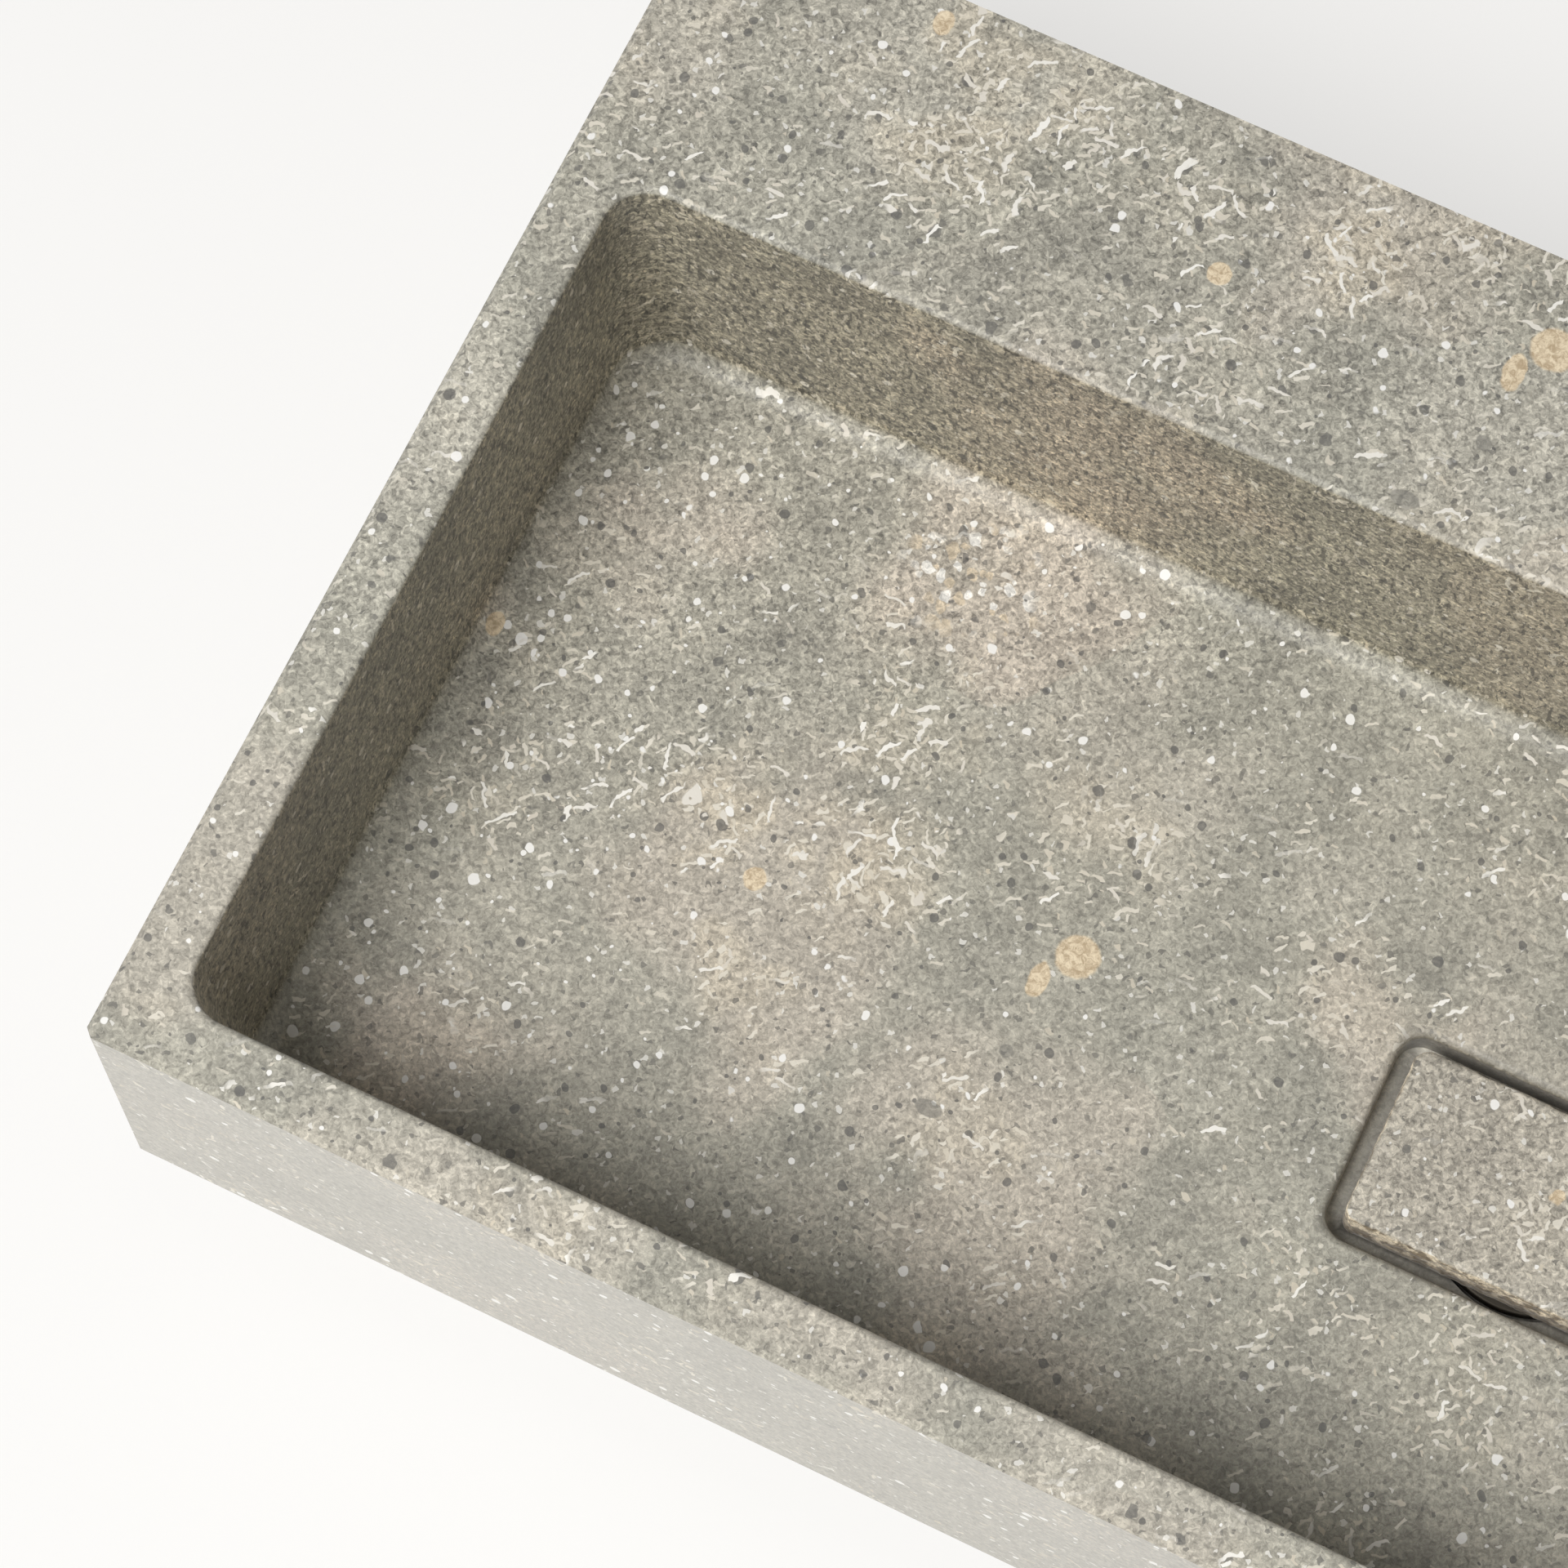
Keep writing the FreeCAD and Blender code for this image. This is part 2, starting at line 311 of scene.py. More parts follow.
def shaded_recess(bench, colour, grey):
    """Painted shade in the recess: darkest under the cover and at its back; a darker band round it.
    """
    facing, at = facing_and_place(bench)
    half = (drain_high - drain_low) / 2
    from_side = bench.sum("SUBTRACT", bench.sum("ABSOLUTE", at[0]), half.x)
    from_front = bench.sum("ABSOLUTE", bench.sum("SUBTRACT", at[1], drain_middle.y))
    off_cover = bench.sum("MAXIMUM", from_side, bench.sum("SUBTRACT", from_front, half.y))
    sunk = bench.fade(at[2], floor_level - 0.0045, floor_level - 0.0035, 1.0, 0.0)
    sunk = bench.times(sunk, bench.sum("GREATER_THAN", at[2], well_level - 0.002))
    in_outline = bench.fade(off_cover, drain_gap, drain_gap + 0.001, 1.0, 0.0)
    inside = bench.times(sunk, in_outline)
    # Painted light and shade: beside the cover the strip is painted darker near the cover and
    # lighter near the recess wall, evening out the lamp's shade across it.
    out = bench.fade(off_cover, 0.0, drain_gap)
    shade_and_dull = bench.blend(out, tone(136, 132, 123), tone(205, 200, 187))
    # Painted shade under the cover.
    shade_and_dull = bench.blend(bench.fade(off_cover, -0.001, 0.0003, 1.0, 0.0), shade_and_dull, tone(72, 68, 61))
    # Painted shade on the recess's back wall, which faces the front.
    to_front = bench.fade(facing[1], -0.8, -0.3, 0.75, 0.0)
    shade_and_dull = bench.blend(to_front, shade_and_dull, tone(84, 77, 64))
    shade_and_dull = bench.blend(0.55, shade_and_dull, grey, "MULTIPLY")
    # A darker band on the floor round the recess's edge.
    near = bench.fade(off_cover, drain_gap, drain_gap + 0.0035, 0.45, 0.0)
    off_floor = bench.sum("ABSOLUTE", bench.sum("SUBTRACT", at[2], floor_level))
    level = bench.sum("LESS_THAN", off_floor, 0.005)
    colour = bench.blend(bench.times(near, level), colour, tone(112, 109, 101))
    return bench.blend(bench.times(inside, 0.9), colour, shade_and_dull)


# %% Broken edges of the cover


def broken_edges(bench, colour, grey):
    """Coarse brown stone on the cover's sides, with painted shade darkening it towards the gap
    below.
    """
    facing, at = facing_and_place(bench)
    place = bench.node("ShaderNodeTexCoord").outputs["Object"]
    upright = bench.fade(facing[2], 0.25, 0.72, 1.0, 0.0)
    coarse = bench.clouds(place, size=0.0042, detail=4.0, rough=0.62)
    coarse = bench.fade(coarse, 0.42, 0.59)
    paint = bench.blend(coarse, tone(134, 118, 94), tone(248, 232, 203))
    paint = bench.blend(0.7, paint, grey, "MULTIPLY")
    # Painted shade: the cover's sides darken towards the gap below, where less light reaches.
    shade_below = bench.fade(at[2], drain_low.z + 0.001, drain_low.z + 0.011, 0.90, 0.0)
    paint = bench.blend(shade_below, paint, tone(68, 55, 36))
    return bench.blend(bench.times(upright, 0.92), colour, paint)


# %% [markdown]
# Every layer of the stone needs the place on the surface, straight or pushed about by noise:
# an outline that follows pushed places turns ragged. A second bench keeps these places ready.

# %% Places in the stone


class StoneBench(Bench):
    """A bench for stone, with the place in the stone, straight and pushed about by noise."""

    def __init__(self, name, shift):
        super().__init__(name)
        self.place = self.arrow("ADD", self.node("ShaderNodeTexCoord").outputs["Object"], shift)
        self.along = self.node("ShaderNodeSeparateXYZ", {0: self.place}).outputs[0]
        fine_push = self.push(size=0.0030)
        self.ragged = self.pushed(fine_push, reach=0.0013)
        self.swirled = self.pushed(fine_push, reach=0.0028)
        self.folded = self.pushed(self.push(size=0.060), reach=0.080)
        self.lumpy = self.pushed(self.push(size=0.018), reach=0.045)

    def push(self, size):
        """A direction that changes at random over about size metres."""
        inputs = {"Vector": self.place, "Scale": 1 / size, "Detail": 1.0}
        waves = self.node("ShaderNodeTexNoise", inputs)
        return self.arrow("SUBTRACT", waves.outputs["Color"], (0.5, 0.5, 0.5))

    def pushed(self, direction, reach):
        return self.arrow("ADD", self.place, self.stretch(direction, reach))

    def shifted(self, place, shift):
        """The place moved to another part of a pattern, so that two layers don't match."""
        return self.arrow("ADD", place, shift)


# %% [markdown]
# Shell lies together in beds, and the larger pebbles lie singly. Noise could place all of them,
# and it does on the right of the block. On the left each has a place of its own, where the real
# stone shows it. The same group shows on the ledge and again, shifted, on the bowl's floor, so
# one list serves both levels.

# %% Beds and single pebbles
ledge_level = 0.063
layer_cuts = (Vector((0.0, 0.0, ledge_level)), Vector((-0.057, -0.205, floor_level)))
noise_from, noise_width = -0.05, 0.07
shell_beds = (
    (-0.288, -0.055, 0.027, 1.0), (-0.220, -0.033, 0.023, 1.0), (-0.255, -0.030, 0.022, 0.7),
    (-0.168, -0.027, 0.026, 1.0), (-0.195, -0.080, 0.018, 0.8), (-0.116, 0.000, 0.034, 0.6),
    (-0.184, 0.018, 0.024, 1.0), (-0.298, -0.014, 0.020, 0.7), (-0.003, -0.098, 0.020, 0.7),
    (-0.112, -0.100, 0.022, 0.5), (-0.255, -0.395, 0.019, 0.40),
)
gravel_beds = ((-0.184, 0.067, 0.024, 1.0),)
tan_pebbles = ((-0.111, -0.041, 0.0038, 0.0072), (-0.103, -0.029, 0.0078, 0.0078),
               (-0.204, -0.050, 0.0042, 0.0042), (-0.315, -0.010, 0.0035, 0.0048))
dark_pebbles = ((-0.124, -0.093, 0.0050, 0.0030), (-0.110, -0.066, 0.0028, 0.0028))
print("shell beds:", len(shell_beds), "pebbles:", len(tan_pebbles) + len(dark_pebbles))


# %% Masks of beds and pebbles


def bed_mask(bench, beds):
    """Share of each bed's strength, 0 outside them. A bed is x, y, radius and strength."""
    mask = 0.0
    for x, y, radius, strength in beds:
        for cut in layer_cuts:
            off = bench.arrow("DISTANCE", bench.lumpy, cut + Vector((x, y, 0.0)))
            inside = bench.fade(off, radius * 0.50, radius * 1.10, strength, 0.0)
            mask = bench.sum("MAXIMUM", mask, inside)
    return mask


def pebble_mask(bench, pebbles):
    """1 inside single pebbles. A pebble is x, y and its half sizes along X and Y."""
    mask = 0.0
    for x, y, half_x, half_y in pebbles:
        for cut in layer_cuts:
            local = bench.arrow("SUBTRACT", bench.ragged, cut + Vector((x, y, 0.0)))
            reach = bench.arrow("LENGTH", bench.arrow("DIVIDE", local, (half_x, half_y, half_x)))
            mask = bench.sum("MAXIMUM", mask, bench.fade(reach, 0.84, 1.0, 1.0, 0.0))
    return mask


# %% [markdown]
# The ground colour comes first. Large cells make lumps that lean to grey or taupe, the matrix
# between them is darker and greener, with slate in its wisps, and the shell beds are paler and
# warmer. One noise could colour it all, but then every patch would have the same soft outline.

# %% Ground colour


def shelly_places(bench, luck):
    """1 in the shell beds: those of the list, and those that noise makes on the right."""
    far = bench.shifted(bench.ragged, (7.7, 2.2, 5.1))
    cloudy = bench.clouds(far, size=0.036, detail=2.0)
    by_noise = bench.fade(bench.sum("MULTIPLY_ADD", luck, 0.12, cloudy), 0.585, 0.715)
    allowed = bench.fade(bench.along, noise_from, noise_from + noise_width, 0.3, 1.0)
    return bench.sum("MAXIMUM", bench.times(by_noise, allowed), bed_mask(bench, shell_beds))


def ground_colour(bench, warmth):
    """The colour under all grains, with the shelly places and the wisps that shade it."""
    lumps = bench.cells(bench.folded, size=0.105)
    luck = bench.parts(lumps["Color"])
    wisps = bench.clouds(bench.ragged, size=0.034, detail=5.0)
    matrix = bench.fade(bench.sum("MULTIPLY_ADD", wisps, 0.6, lumps["Distance"]), 0.60, 0.90)
    shelly = shelly_places(bench, luck[1])
    slate = bench.fade(bench.times(matrix, wisps), 0.46, 0.66)
    ground = bench.blend(luck[0], tone(174, 170, 157), tone(184, 174, 160))
    ground = bench.blend(bench.times(shelly, 0.55), ground, tone(196, 185, 164))
    ground = bench.blend(bench.times(matrix, 0.80), ground, tone(163, 160, 147))
    ground = bench.blend(bench.times(slate, 0.45), ground, tone(148, 145, 134))
    return bench.blend(warmth, ground, tone(182, 174, 160)), shelly, wisps


# %% [markdown]
# Sand grains are cells of a millimetre or so, with silt between them. They only make the ground
# lighter or darker, and a few of them are charcoal or white. The grain is stronger at the back
# left of the block than at the front right.

# %% Sand grains


def sand_light(bench, wisps, grain):
    """How light the sand is, about 1 on average, with the luck of its grains and the silt."""
    luck = bench.parts(bench.cells(bench.swirled, size=0.0014)["Color"])
    silt = bench.clouds(bench.place, size=0.0020, detail=5.0, rough=0.72, warp=0.9)
    light = bench.sum("MULTIPLY_ADD", luck[0], 0.42, 0.79)
    light = bench.times(light, bench.sum("MULTIPLY_ADD", silt, 2.7, -0.35))
    to_back_left = bench.arrow("DOT_PRODUCT", bench.place, (-0.6, 1.0, 0.0))
    contrast = bench.fade(to_back_left, -0.09, 0.0, *grain)
    light = bench.sum("MULTIPLY_ADD", bench.sum("SUBTRACT", light, 1.0), contrast, 1.0)
    light = bench.sum("MAXIMUM", light, 0.15)
    light = bench.times(light, bench.sum("MULTIPLY_ADD", wisps, -0.50, 1.25))
    return light, luck, silt


def odd_grains(bench, colour, luck):
    """A few charcoal and white grains."""
    specks = bench.sum("LESS_THAN", luck, 0.020)
    colour = bench.blend(bench.times(specks, 0.65), colour, tone(98, 96, 91))
    glints = bench.sum("GREATER_THAN", luck, 0.986)
    return bench.blend(bench.times(glints, 0.75), colour, tone(232, 229, 221))


# %% [markdown]
# Then come the fragments: crushed shell, gravel, chips of grit, whole shell and single pebbles.
# Shell crowds together in the beds and is rare elsewhere. Each layer takes the colour so far
# and paints its own fragments over it.

# %% Crushed shell and gravel


def crowd(bench, fragments, patch, elsewhere):
    """How clearly a fragment shows: nearly all do inside the patch, a few do elsewhere."""
    chance = bench.sum("MULTIPLY_ADD", patch, 1.0 - elsewhere, elsewhere)
    return bench.fade(bench.sum("SUBTRACT", chance, fragments.luck[1]), -0.10, 0.12)


def crushed_shell_and_gravel(bench, colour, grey, shelly):
    small = Fragments(bench, bench.shifted(bench.swirled, (0.6, 0.1, 0.4)), spacing=0.0042)
    rods = small.plates(radius=0.0034, thickness=0.0009, curl=60.0)
    rods = bench.times(rods, crowd(bench, small, shelly, elsewhere=0.09))
    rod_paint = bench.blend(small.luck[0], tone(206, 196, 176), tone(234, 228, 214))
    colour = bench.blend(bench.times(rods, 0.85), colour, rod_paint)
    far = bench.shifted(bench.ragged, (4.2, 6.1, 2.7))
    cloudy = bench.clouds(far, size=0.050, detail=2.0)
    allowed = bench.fade(bench.along, noise_from, noise_from + noise_width)
    gravel = bench.times(bench.fade(cloudy, 0.62, 0.70), allowed)
    gravel = bench.sum("MAXIMUM", gravel, bed_mask(bench, gravel_beds))
    peas = bench.times(small.pebbles(smallest=0.0016, largest=0.0034), gravel)
    is_dark = bench.sum("GREATER_THAN", small.luck[2], 0.66)
    is_white = bench.sum("LESS_THAN", small.luck[2], 0.34)
    pea_paint = bench.blend(is_dark, tone(206, 190, 164), tone(84, 82, 80))
    pea_paint = bench.blend(is_white, pea_paint, tone(240, 238, 232))
    pea_paint = bench.blend(0.55, pea_paint, grey, "MULTIPLY")
    return bench.blend(bench.times(peas, 0.75), colour, pea_paint)


# %% Grit and whole shell


def grit(bench, colour):
    chips = Fragments(bench, bench.shifted(bench.ragged, (5.9, 1.7, 8.303)), spacing=0.0056)
    mask = chips.pebbles(smallest=0.0006, largest=0.0021)
    pale = bench.times(mask, bench.sum("LESS_THAN", chips.luck[2], 0.31))
    dark = bench.times(mask, bench.sum("GREATER_THAN", chips.luck[2], 0.86))
    colour = bench.blend(bench.times(pale, 0.92), colour, tone(246, 244, 239))
    return bench.blend(bench.times(dark, 0.75), colour, tone(84, 83, 81))


def whole_shell(bench, colour, shelly):
    large = Fragments(bench, bench.shifted(bench.swirled, (2.5, 9.4, 0.8)), spacing=0.0075)
    slivers = large.plates(radius=0.0062, thickness=0.0010, curl=60.0)
    slivers = bench.times(slivers, crowd(bench, large, shelly, elsewhere=0.015))
    few = bench.sum("GREATER_THAN", large.luck[2], 0.86)
    shards = bench.times(large.pebbles(smallest=0.0013, largest=0.0026), few)
    colour = bench.blend(bench.times(shards, 0.70), colour, tone(88, 87, 84))
    sliver_paint = bench.blend(large.luck[0], tone(210, 202, 187), tone(247, 244, 236))
    return bench.blend(slivers, colour, sliver_paint)


# %% Single pebbles


def single_pebbles(bench, colour, silt):
    shift = (6.2, 3.3, 7.9)
    rare = Fragments(bench, bench.shifted(bench.swirled, shift), spacing=0.052)
    along = bench.node("ShaderNodeSeparateXYZ", {0: rare.seed}).outputs[0]
    allowed = bench.sum("GREATER_THAN", along, shift[0] + noise_from)
    mask = bench.times(rare.pebbles(smallest=0.0038, largest=0.0090), allowed)
    tan = bench.times(mask, bench.sum("LESS_THAN", rare.luck[2], 0.38))
    tan = bench.sum("MAXIMUM", tan, pebble_mask(bench, tan_pebbles))
    murky = bench.times(mask, bench.sum("GREATER_THAN", rare.luck[2], 0.80))
    murky = bench.sum("MAXIMUM", murky, pebble_mask(bench, dark_pebbles))
    tan_paint = bench.blend(bench.fade(silt, 0.36, 0.64), tone(186, 164, 132), tone(240, 222, 190))
    colour = bench.blend(bench.times(tan, 0.92), colour, tan_paint)
    return bench.blend(bench.times(murky, 0.60), colour, tone(112, 110, 104))


# %% [markdown]
# Now the layers are put together in one finish. The block and the cover are cut from the same
# stone, but from different places in it, so the pattern is shifted for the cover.

# %% Stone finish


def stone(name, shift, warmth, grain, overlays):
    """Honed conglomerate. shift moves the pattern, warmth leans its ground towards taupe.

    grain is the contrast of the grain at the front right and at the back left, and the last
    argument lists the layers painted over the honed stone on some faces: painted shade, painted
    sheen, and the cover's broken sides.
    """
    bench = StoneBench(name, shift)
    ground, shelly, wisps = ground_colour(bench, warmth)
    light, luck, silt = sand_light(bench, wisps, grain)
    grey = bench.node("ShaderNodeCombineColor", {0: light, 1: light, 2: light}).outputs[0]
    colour = bench.blend(1.0, ground, grey, "MULTIPLY")
    colour = odd_grains(bench, colour, luck[1])
    colour = crushed_shell_and_gravel(bench, colour, grey, shelly)
    colour = grit(bench, colour)
    colour = whole_shell(bench, colour, shelly)
    colour = single_pebbles(bench, colour, silt)
    for overlay in overlays:
        colour = overlay(bench, colour, grey)
    bench.plug(bench.surface.inputs["Base Color"], colour)
    bench.plug(bench.surface.inputs["Roughness"], bench.fade(luck[2], 0.0, 1.0, 0.50, 0.62))
    bench.surface.inputs["IOR"].default_value = 1.5
    bench.surface.inputs["Sheen Weight"].default_value = 0.20
    bench.surface.inputs["Sheen Roughness"].default_value = 0.45
    bump = bench.node("ShaderNodeBump", {"Strength": 0.10, "Distance": 0.0004, "Height": light})
    bench.plug(bench.surface.inputs["Normal"], bump.outputs[0])
    return bench.material


# %% The block's and the cover's stone


def dress(node, material):
    """Gives a carried-over piece its finish."""
    slots = nodes[node].data.materials
    slots.clear()
    slots.append(material)


block_stone = stone("block_stone", shift=(0.0, 0.0, 0.0), warmth=0.0, grain=(0.95, 1.28),
                    overlays=(wall_shade_and_pits, sheen_on_sides, shaded_recess))
cover_stone = stone("cover_stone", shift=(0.61, 0.48, 0.15), warmth=0.65, grain=(1.25, 1.25),
                    overlays=(broken_edges,))
dress("basin_body", block_stone)
print("stone nodes:", len(block_stone.node_tree.nodes))

# %% [markdown]
# Metal, rubber and plastic are simpler finishes, but none is a single flat colour: chrome has
# faint water marks and, under the cover, is rougher and has painted shade; satin steel has a
# brushed grain, rubber and nylon have a fine moulded skin.

# %% Chrome and steel


def chrome(name, shade_and_dull_above):
    """Bright plate with water marks; above the given height it is rougher and has painted shade."""
    bench = Bench(name)
    place = bench.node("ShaderNodeTexCoord").outputs["Object"]
    height = bench.node("ShaderNodeSeparateXYZ", {0: place}).outputs[2]
    marks = bench.clouds(place, size=0.006, detail=4.0)
    # Painted shade: above the given height, under the cover, the plate is painted dark and made
    # rougher.
    shade_and_dull = bench.fade(height, shade_and_dull_above, shade_and_dull_above + 0.002)
    plate = bench.blend(marks, tone(222, 223, 224), tone(236, 236, 236))
    shade_tone = bench.blend(marks, tone(52, 48, 42), tone(88, 83, 75))
    rough = bench.fade(marks, 0.3, 0.7, 0.07, 0.17)
    bench.surface.inputs["Metallic"].default_value = 1.0
    bench.plug(bench.surface.inputs["Base Color"], bench.blend(shade_and_dull, plate, shade_tone))
    bench.plug(bench.surface.inputs["Roughness"], bench.sum("MULTIPLY_ADD", shade_and_dull, 0.45, rough))
    return bench.material


def satin_steel(name):
    bench = Bench(name)
    place = bench.node("ShaderNodeTexCoord").outputs["Object"]
    drawn_out = bench.arrow("MULTIPLY", place, (1.0, 14.0, 14.0))
    drawn = bench.clouds(drawn_out, size=0.004, detail=3.0)
    bench.surface.inputs["Metallic"].default_value = 1.0
    colour = bench.blend(drawn, tone(176, 175, 172), tone(206, 205, 202))
    bench.plug(bench.surface.inputs["Base Color"], colour)
    bench.plug(bench.surface.inputs["Roughness"], bench.fade(drawn, 0.3, 0.7, 0.24, 0.40))
    return bench.material


# %% Rubber, silicone and nylon


def moulded(name, low, high, rough):
    """Rubber, silicone or nylon: a soft colour change and a fine moulded skin."""
    bench = Bench(name)
    place = bench.node("ShaderNodeTexCoord").outputs["Object"]
    pores = bench.clouds(place, size=0.0012, detail=2.0)
    gloss = bench.fade(pores, 0.2, 0.8, rough - 0.08, rough + 0.08)
    colour = bench.blend(bench.clouds(place, size=0.02), low, high)
    bench.plug(bench.surface.inputs["Base Color"], colour)
    bench.plug(bench.surface.inputs["Roughness"], gloss)
    bump = bench.node("ShaderNodeBump", {"Strength": 0.2, "Distance": 0.0002, "Height": pores})
    bench.plug(bench.surface.inputs["Normal"], bump.outputs[0])
    return bench.material


# %% Finish the small pieces
# The flange's top, under the cover, takes painted shade.
bright_chrome = chrome("bright_chrome", shade_and_dull_above=-0.058)
brushed_steel = satin_steel("brushed_steel")
black_rubber = moulded("black_rubber", tone(30, 30, 30), tone(44, 43, 42), rough=0.6)
clear_silicone = moulded("clear_silicone", tone(196, 198, 196), tone(214, 215, 213), rough=0.35)
white_nylon = moulded("white_nylon", tone(222, 221, 214), tone(234, 233, 227), rough=0.45)
dress("back_nut", bright_chrome)
for node in ("waste_grid", "grid_screw"):
    dress(node, brushed_steel)
for node in ("flange_seal", "under_seal"):
    dress(node, black_rubber)
for node in ("slip_washer", "wall_sleeve_left", "wall_sleeve_right"):
    dress(node, white_nylon)
print("finishes:", sorted(m.name for m in bpy.data.materials if m.users))

# %% [markdown]
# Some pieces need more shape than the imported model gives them: the cover's broken sides and
# worn arris, the thread on the waste, and the domed pads under the cover. All of them can be
# built from closed rings of points, stacked one after another and joined by faces. So one
# helper skins a stack of rings, and each piece only has to say where its rings lie.

# %% Skin a stack of rings


def skin(name, stacks, material):
    """One piece from stacks of rings. A stack is (rings, capped): ends are capped, or joined."""
    shell = bmesh.new()
    for rings, capped in stacks:
        loops = [[shell.verts.new(point) for point in ring] for ring in rings]
        uppers = loops[1:] if capped else loops[1:] + loops[:1]
        for lower, upper in zip(loops, uppers):
            for step in range(len(lower)):
                ahead = (step + 1) % len(lower)
                shell.faces.new((lower[step], lower[ahead], upper[ahead], upper[step]))
        if capped:
            shell.faces.new(loops[0][::-1])
            shell.faces.new(loops[-1])
    mesh = bpy.data.meshes.new(name)
    shell.to_mesh(mesh)
    shell.free()
    mesh.polygons.foreach_set("use_smooth", [True] * len(mesh.polygons))
    mesh.set_sharp_from_angle(angle=math.radians(35))
    mesh.materials.append(material)
    piece = bpy.data.objects.new(name, mesh)
    bpy.context.scene.collection.objects.link(piece)
    return piece


# %% Round rings


def round_ring(middle, height, radius_at, steps):
    """Points round an upright axis; radius_at gives the radius at each angle."""
    points = []
    for step in range(steps):
        angle = 2 * math.pi * step / steps
        radius = radius_at(angle)
        x = middle.x + radius * math.cos(angle)
        y = middle.y + radius * math.sin(angle)
        points.append((x, y, height))
    return points


# %% [markdown]
# The cover is a loose slab. Its top is honed flat, and its arris has been knocked and worn, so
# the rounding is wider in some places than in others. Its sides are broken stone. A bump in the
# material would not change the outline, so the sides are really uneven here: each point of the
# sides goes in by a fraction of a millimetre, which fractal noise gives.

# %% Outline of the cover
cover_corner = 0.0046
corner_steps = 8


def cover_outline(spacing):
    """Places along the cover's rounded rectangle, each with the way straight out of it."""
    half = (drain_high - drain_low) / 2
    corners = ((1, -1, -90), (1, 1, 0), (-1, 1, 90), (-1, -1, 180))
    found = []
    for side_x, side_y, start in corners:
        hub = Vector((side_x * (half.x - cover_corner), side_y * (half.y - cover_corner), 0.0))
        for step in range(corner_steps + 1):
            turn = math.radians(start + step * 90 / corner_steps)
            out = Vector((math.cos(turn), math.sin(turn), 0.0))
            found.append((drain_middle + hub + out * cover_corner, out))
    filled = []
    for (here, out), (after, after_out) in zip(found, found[1:] + found[:1]):
        count = max(1, round((after - here).length / spacing))
        for step in range(count):
            share = step / count
            filled.append((here.lerp(after, share), out.lerp(after_out, share).normalized()))
    return filled


outline = cover_outline(spacing=0.0006)
print("points round the cover:", len(outline))

# %% Worn stone cover


def uneven(place, size, octaves):
    """Fractal noise, about -1 to 1, with lumps about size metres across."""
    return noise.fractal(place / size, 0.9, 2.1, octaves)


side_low = drain_low.z + 0.0012
side_rows = 20
arris_rows = 8
arris_usual, arris_swing = 0.0020, 0.0011
arris_least, arris_most = 0.0009, 0.0036
dent_usual, dent_swing = 0.00022, 0.00042
top_inset = 0.0042
foot_steps = ((0.004, 0.0), (0.0011, 0.0), (0.0005, 0.0003))
rings = []
for inset, rise in foot_steps:
    rings.append([(*(here - out * inset).xy, drain_low.z + rise) for here, out in outline])
worn = [arris_usual + arris_swing * uneven(here, size=0.011, octaves=3) for here, out in outline]
worn = [min(max(radius, arris_least), arris_most) for radius in worn]
for row in range(side_rows + arris_rows + 1):
    ring = []
    for (here, out), radius in zip(outline, worn):
        side_high = drain_high.z - radius
        tilt = max(0, row - side_rows) / arris_rows * math.pi / 2
        climb = min(row / side_rows, 1.0)
        height = side_low + (side_high - side_low) * climb + radius * math.sin(tilt)
        place = Vector((here.x, here.y, height))
        dent = dent_usual + dent_swing * uneven(place, size=0.0034, octaves=4)
        inset = radius * (1 - math.cos(tilt)) + max(dent, 0.0) * math.cos(tilt)
        ring.append((*(here - out * inset).xy, height))
    rings.append(ring)
rings.append([(*(here - out * top_inset).xy, drain_high.z) for here, out in outline])
worn_cover = skin("worn_cover", [(rings, True)], cover_stone)
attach(worn_cover, "cover")
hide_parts("drain_cover")
print("cover: worn arris from", round(min(worn), 4), "to", round(max(worn), 4), "m")

# %% [markdown]
# Four clear silicone bumpers hold the cover off the stone. Real stick-on bumpers are domed, so
# each is turned: flat where it is stuck to the cover, rounded, and a little flat at its foot.

# %% Domed pads
dome_stop = math.radians(64)
dome_steps = 8
pad_sides = 40
for node in sorted(nodes):
    if not node.startswith("cover_pad"):
        continue
    low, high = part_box(node)
    radius = (high.x - low.x) / 2
    rings = []
    for step in range(dome_steps, -1, -1):
        tilt = dome_stop * step / dome_steps
        height = high.z - (high.z - low.z) * math.sin(tilt) / math.sin(dome_stop)
        width = radius * math.cos(tilt)
        rings.append(round_ring((low + high) / 2, height, lambda angle: width, pad_sides))
    pad = skin(node.replace("cover_pad", "domed_pad"), [(rings, True)], clear_silicone)
    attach(pad, "cover")
    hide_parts(node)
    print(pad.name, "radius", round(radius, 4))

# %% [markdown]
# The waste is turned from brass, with a pipe thread outside for the nut and the trap. A smooth
# tube would look like a stand-in from below. The thread is worked out in the radius itself: it
# falls and rises once in each pitch, and the pattern climbs by one pitch in each turn. The
# bridge across the bore, which takes the grid's screw, is a second shell in the same piece.

# %% Sizes of the waste
waste_low, waste_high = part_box("waste_body")
waste_middle = (waste_low + waste_high) / 2
thread_pitch = 0.002309
thread_depth = 0.00148
thread_crest = 0.02095
thread_top = -0.0690
crest_share = 0.1
rows_per_pitch = 10
waste_sides = 96
groove_low, groove_high, groove_radius = -0.0802, -0.0782, 0.02015
bore_radius = 0.0180
chamfer = 0.0015
flange_radius = waste_high.x - waste_middle.x
flange_low = waste_high.z - 0.0030
flange_round = 0.0010
seat_radius, seat_low = 0.0233, waste_high.z - 0.0015
print("flange radius", round(flange_radius, 4))


# %% Thread


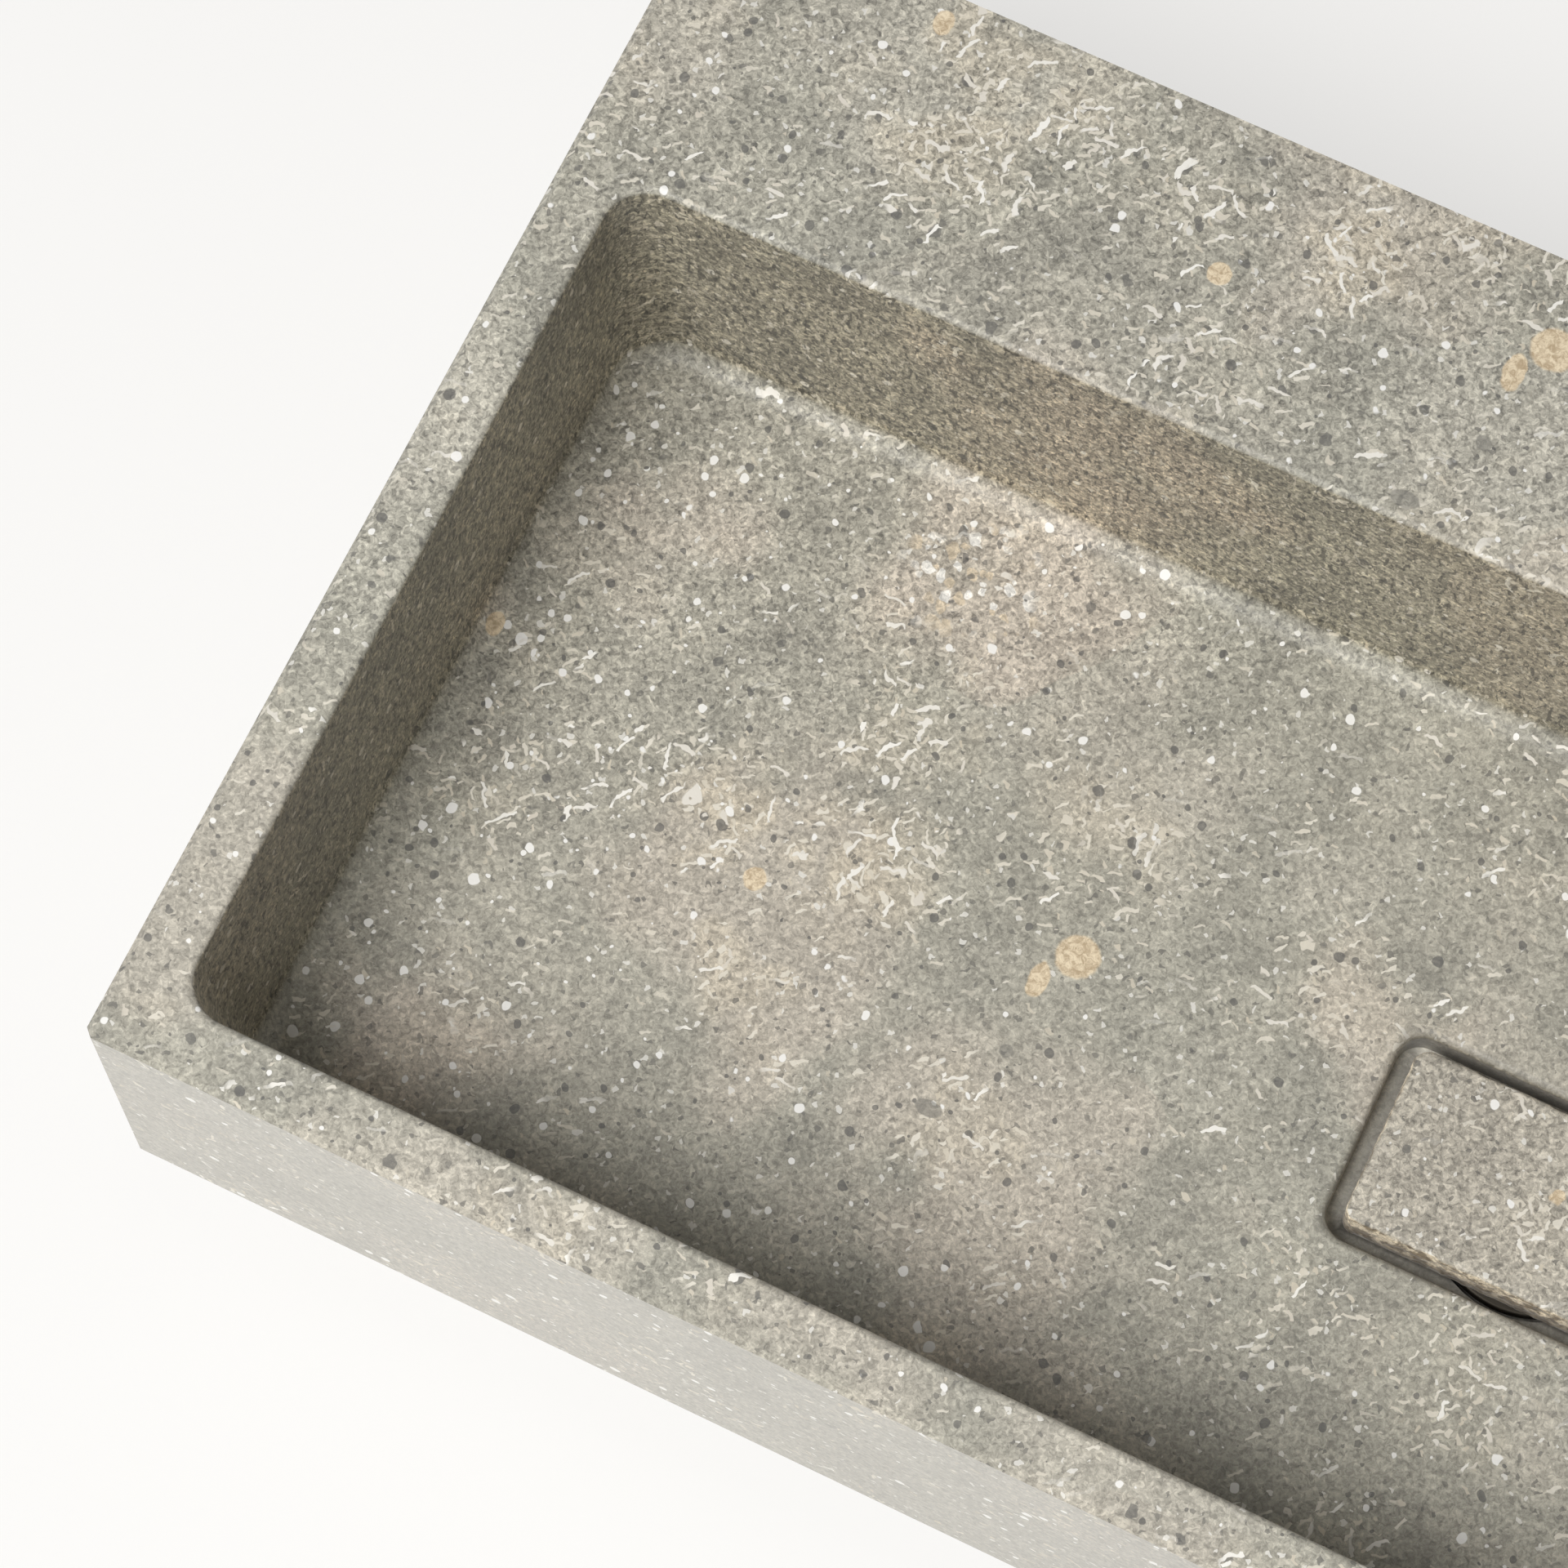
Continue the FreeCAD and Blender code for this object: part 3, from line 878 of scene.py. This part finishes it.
def thread_radius(height, angle):
    """A right-hand thread with sloping flanks and rounded crests and roots."""
    turn = (height / thread_pitch - angle / (2 * math.pi)) % 1.0
    slope = min(max((abs(2 * turn - 1) - crest_share) / (1 - 2 * crest_share), 0.0), 1.0)
    cut = slope * slope * (3 - 2 * slope)
    limit = thread_crest - max(0.0, chamfer - (height - waste_low.z))
    if groove_low < height < groove_high:
        limit = groove_radius
    return min(limit, thread_crest - thread_depth * cut)


def waste_ring(radius, height):
    return round_ring(waste_middle, height, lambda angle: radius, waste_sides)


# %% Rings of the waste
rings = [waste_ring(bore_radius, waste_low.z)]
rows = round((thread_top - waste_low.z) / thread_pitch * rows_per_pitch)
for row in range(rows + 1):
    height = waste_low.z + row * thread_pitch / rows_per_pitch
    ring = round_ring(waste_middle, height, lambda angle: thread_radius(height, angle), waste_sides)
    rings.append(ring)
rings += [waste_ring(thread_crest, height + 0.0003), waste_ring(thread_crest, flange_low)]
rings.append(waste_ring(flange_radius, flange_low))
for step in range(5):
    tilt = math.pi / 2 * step / 4
    out = flange_radius - flange_round * (1 - math.cos(tilt))
    rings.append(waste_ring(out, waste_high.z - flange_round * (1 - math.sin(tilt))))
rings += [waste_ring(seat_radius, waste_high.z), waste_ring(seat_radius, seat_low)]
rings.append(waste_ring(bore_radius, seat_low))
print("waste rings:", len(rings))

# %% Bridge and threaded waste
bridge_low = seat_low - 0.0080
bridge_half_length, bridge_half_width = 0.0184, 0.0025
boss_radius, screw_radius = 0.0055, 0.00265


def bridge_radius(angle):
    """Outline of a narrow bar along X, with a round boss in its middle."""
    along = bridge_half_length / max(abs(math.cos(angle)), 0.001)
    across = bridge_half_width / max(abs(math.sin(angle)), 0.001)
    return max(boss_radius, min(along, across))


def screw_hole(angle):
    return screw_radius


bridge = []
for radius_at, height in ((screw_hole, bridge_low), (bridge_radius, bridge_low),
                          (bridge_radius, seat_low), (screw_hole, seat_low)):
    bridge.append(round_ring(waste_middle, height, radius_at, waste_sides))
threaded_waste = skin("threaded_waste", [(rings, False), (bridge, False)], bright_chrome)
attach(threaded_waste, "basin")
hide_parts("waste_body")
print("bridge from", round(bridge_low, 4), "to", round(seat_low, 4))

# %% [markdown]
# The floor is a plain pale sheet just under the lowest point of the waste. A white sheet under
# this soft light would look grey, so where the camera or a mirror looks at it, an even glow
# makes up about two thirds of it. The rest still takes the basin's shadow.

# %% Floor sheet
floor_half = 6.0
floor_z = cad_box[0].z - 0.001
floor_mesh = bpy.data.meshes.new("pale_floor")
corner_ways = ((-1, -1), (1, -1), (1, 1), (-1, 1))
corners = [(x * floor_half, y * floor_half, floor_z) for x, y in corner_ways]
floor_mesh.from_pydata(corners, [], [(0, 1, 2, 3)])
floor = bpy.data.objects.new("pale_floor", floor_mesh)
bpy.context.scene.collection.objects.link(floor)
print("floor at", round(floor_z, 4))

# %% Floor finish
paper_glow = 0.68


def looked_at(tree):
    """1 where the camera, a mirror or glass looks, 0 where a surface is only lit."""
    rays = tree.nodes.new("ShaderNodeLightPath")
    share = rays.outputs["Is Camera Ray"]
    for kind in ("Is Glossy Ray", "Is Transmission Ray"):
        either = tree.nodes.new("ShaderNodeMath")
        either.operation = "MAXIMUM"
        tree.links.new(share, either.inputs[0])
        tree.links.new(rays.outputs[kind], either.inputs[1])
        share = either.outputs[0]
    return share


floor_bench = Bench("pale_floor")
floor_bench.surface.inputs["Base Color"].default_value = tone(248, 247, 245)
floor_bench.surface.inputs["Roughness"].default_value = 0.9
glow = {"Color": tone(250, 249, 247), "Strength": 1.0}
paper_white = floor_bench.node("ShaderNodeEmission", glow)
paper_share = floor_bench.times(looked_at(floor_bench.tree), paper_glow)
paper = floor_bench.node("ShaderNodeMixShader", {0: paper_share})
floor_bench.tree.links.new(floor_bench.surface.outputs[0], paper.inputs[1])
floor_bench.tree.links.new(paper_white.outputs[0], paper.inputs[2])
floor_output = floor_bench.tree.nodes["Material Output"]
floor_bench.tree.links.new(paper.outputs[0], floor_output.inputs["Surface"])
floor_mesh.materials.append(floor_bench.material)
print("glow of the floor:", paper_glow)

# %% [markdown]
# The world is white where the camera or a mirror looks at it, and dimmer where it lights the
# stone, so the background stays white while the stone keeps its own colour. One large soft
# lamp at the front left gives the bowl its soft shade along the front and left walls.

# %% World
world = bpy.data.worlds.new("soft_room")
world.use_nodes = True
bpy.context.scene.world = world
background = world.node_tree.nodes["Background"]
background.inputs["Color"].default_value = (1.0, 1.0, 1.0, 1.0)
room_light = 0.15
level = world.node_tree.nodes.new("ShaderNodeMapRange")
level.inputs["To Min"].default_value = room_light
level.inputs["To Max"].default_value = 1.0
world.node_tree.links.new(looked_at(world.node_tree), level.inputs["Value"])
world.node_tree.links.new(level.outputs[0], background.inputs["Strength"])
print("room light", room_light)

# %% Lamp
lamp_data = bpy.data.lights.new("soft_lamp", "AREA")
lamp_data.shape = "DISK"
lamp_data.size = 1.5
lamp_data.energy = 90.0
lamp = bpy.data.objects.new("soft_lamp", lamp_data)
lamp_way = Vector((-0.22, -0.45, 0.80)).normalized()
lamp_target = Vector((-0.15, -0.20, 0.0))
lamp_distance = 3.0
lamp.location = lamp_target + lamp_way * lamp_distance
lamp.rotation_euler = (-lamp_way).to_track_quat("-Z", "Y").to_euler()
bpy.context.scene.collection.objects.link(lamp)
bpy.context.scene.view_settings.view_transform = "Standard"
print("lamp", lamp_data.energy, "W")
